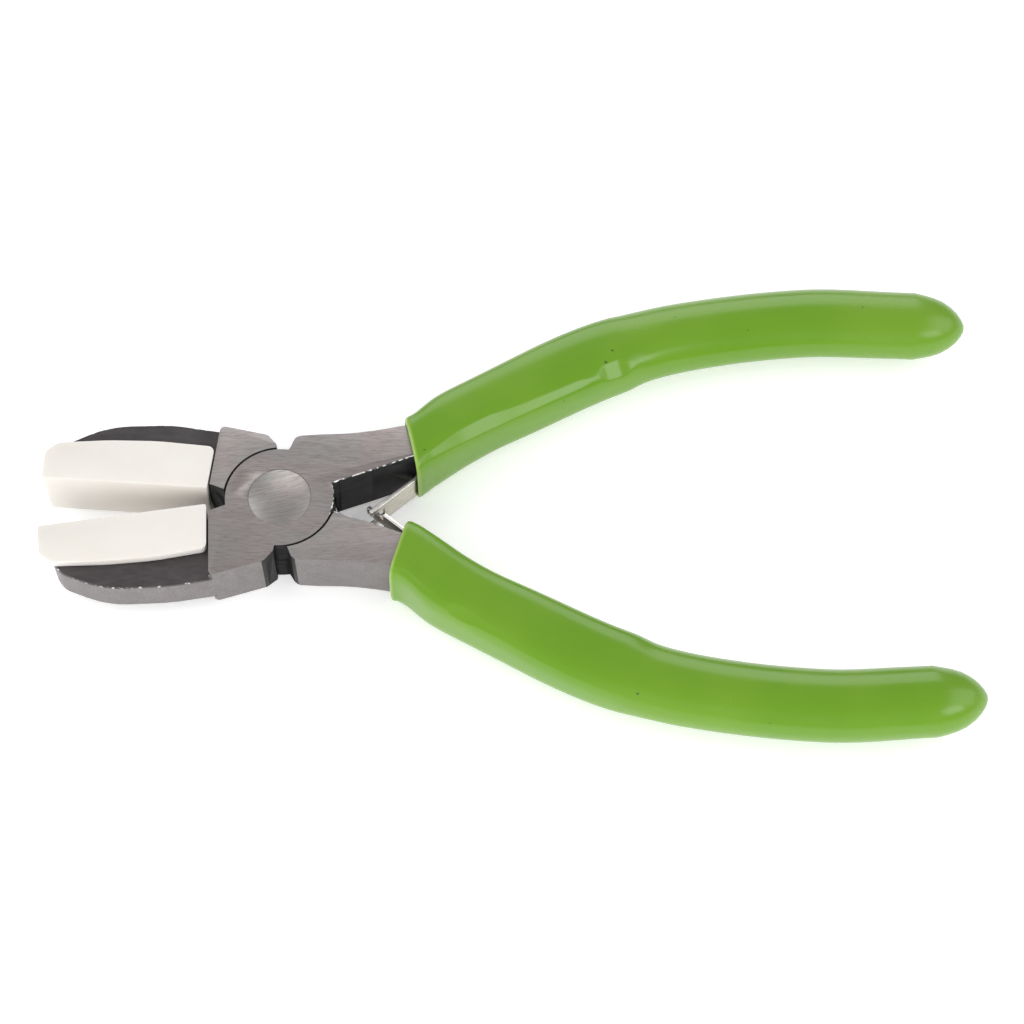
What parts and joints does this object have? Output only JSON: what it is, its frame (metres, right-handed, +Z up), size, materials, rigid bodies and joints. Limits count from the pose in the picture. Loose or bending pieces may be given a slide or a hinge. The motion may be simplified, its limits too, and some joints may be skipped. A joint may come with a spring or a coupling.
{
  "type": "nylon-jaw running pliers",
  "caption": "Small lap-joint running pliers with flat white nylon jaw pads, green dipped grips and a double leaf return spring.",
  "frame": {"origin": "centre of the rivet's flat lower head, on the pivot axis in the plane of the joint's underside", "axes": "+X towards the handles' ends, +Y towards the upper handle, +Z up out of the flat side of the joint"},
  "size_m": [0.1302, 0.07, 0.0106],
  "materials": {
    "ground_steel": "ground, with black oxide on the inner walls",
    "rivet_steel": "ground flush",
    "white_nylon": "moulded, satin",
    "green_vinyl": "dipped, glossy",
    "spring_steel": "tempered strip",
    "pin_steel": "plain"
  },
  "bodies": {
    "lower_handle_half": {"lower_handle_lever": "ground_steel", "upper_jaw_pad": "white_nylon", "upper_pad_pin": "pin_steel", "lower_grip": "green_vinyl", "pivot_rivet": "rivet_steel"},
    "upper_handle_half": {"upper_handle_lever": "ground_steel", "lower_jaw_pad": "white_nylon", "lower_pad_pin": "pin_steel", "upper_grip": "green_vinyl"},
    "upper_leaf": {"upper_spring_leaf": "spring_steel"},
    "lower_leaf": {"lower_spring_leaf": "spring_steel"}
  },
  "joints": [
    {"name": "pivot", "type": "hinge", "parent": "lower_handle_half", "child": "upper_handle_half", "pos_m": [0, 0, 0.0045], "axis": [0, 0, 1], "range_deg": [-12.6, 6], "stiffness_Nm_per_rad": 0.35},
    {"name": "upper_leaf_bend", "type": "hinge", "parent": "upper_handle_half", "child": "upper_leaf", "pos_m": [0.0192, 0.00699, 0.0045], "axis": [0, 0, 1], "range_deg": [-12, 6]},
    {"name": "lower_leaf_bend", "type": "hinge", "parent": "lower_handle_half", "child": "lower_leaf", "pos_m": [0.0192, -0.00699, 0.0045], "axis": [0, 0, 1], "range_deg": [-6, 12]}
  ],
  "couplings": [
    {"joint": "upper_leaf_bend", "follows": "pivot", "ratio": 0.86},
    {"joint": "lower_leaf_bend", "follows": "pivot", "ratio": -0.86}
  ]
}
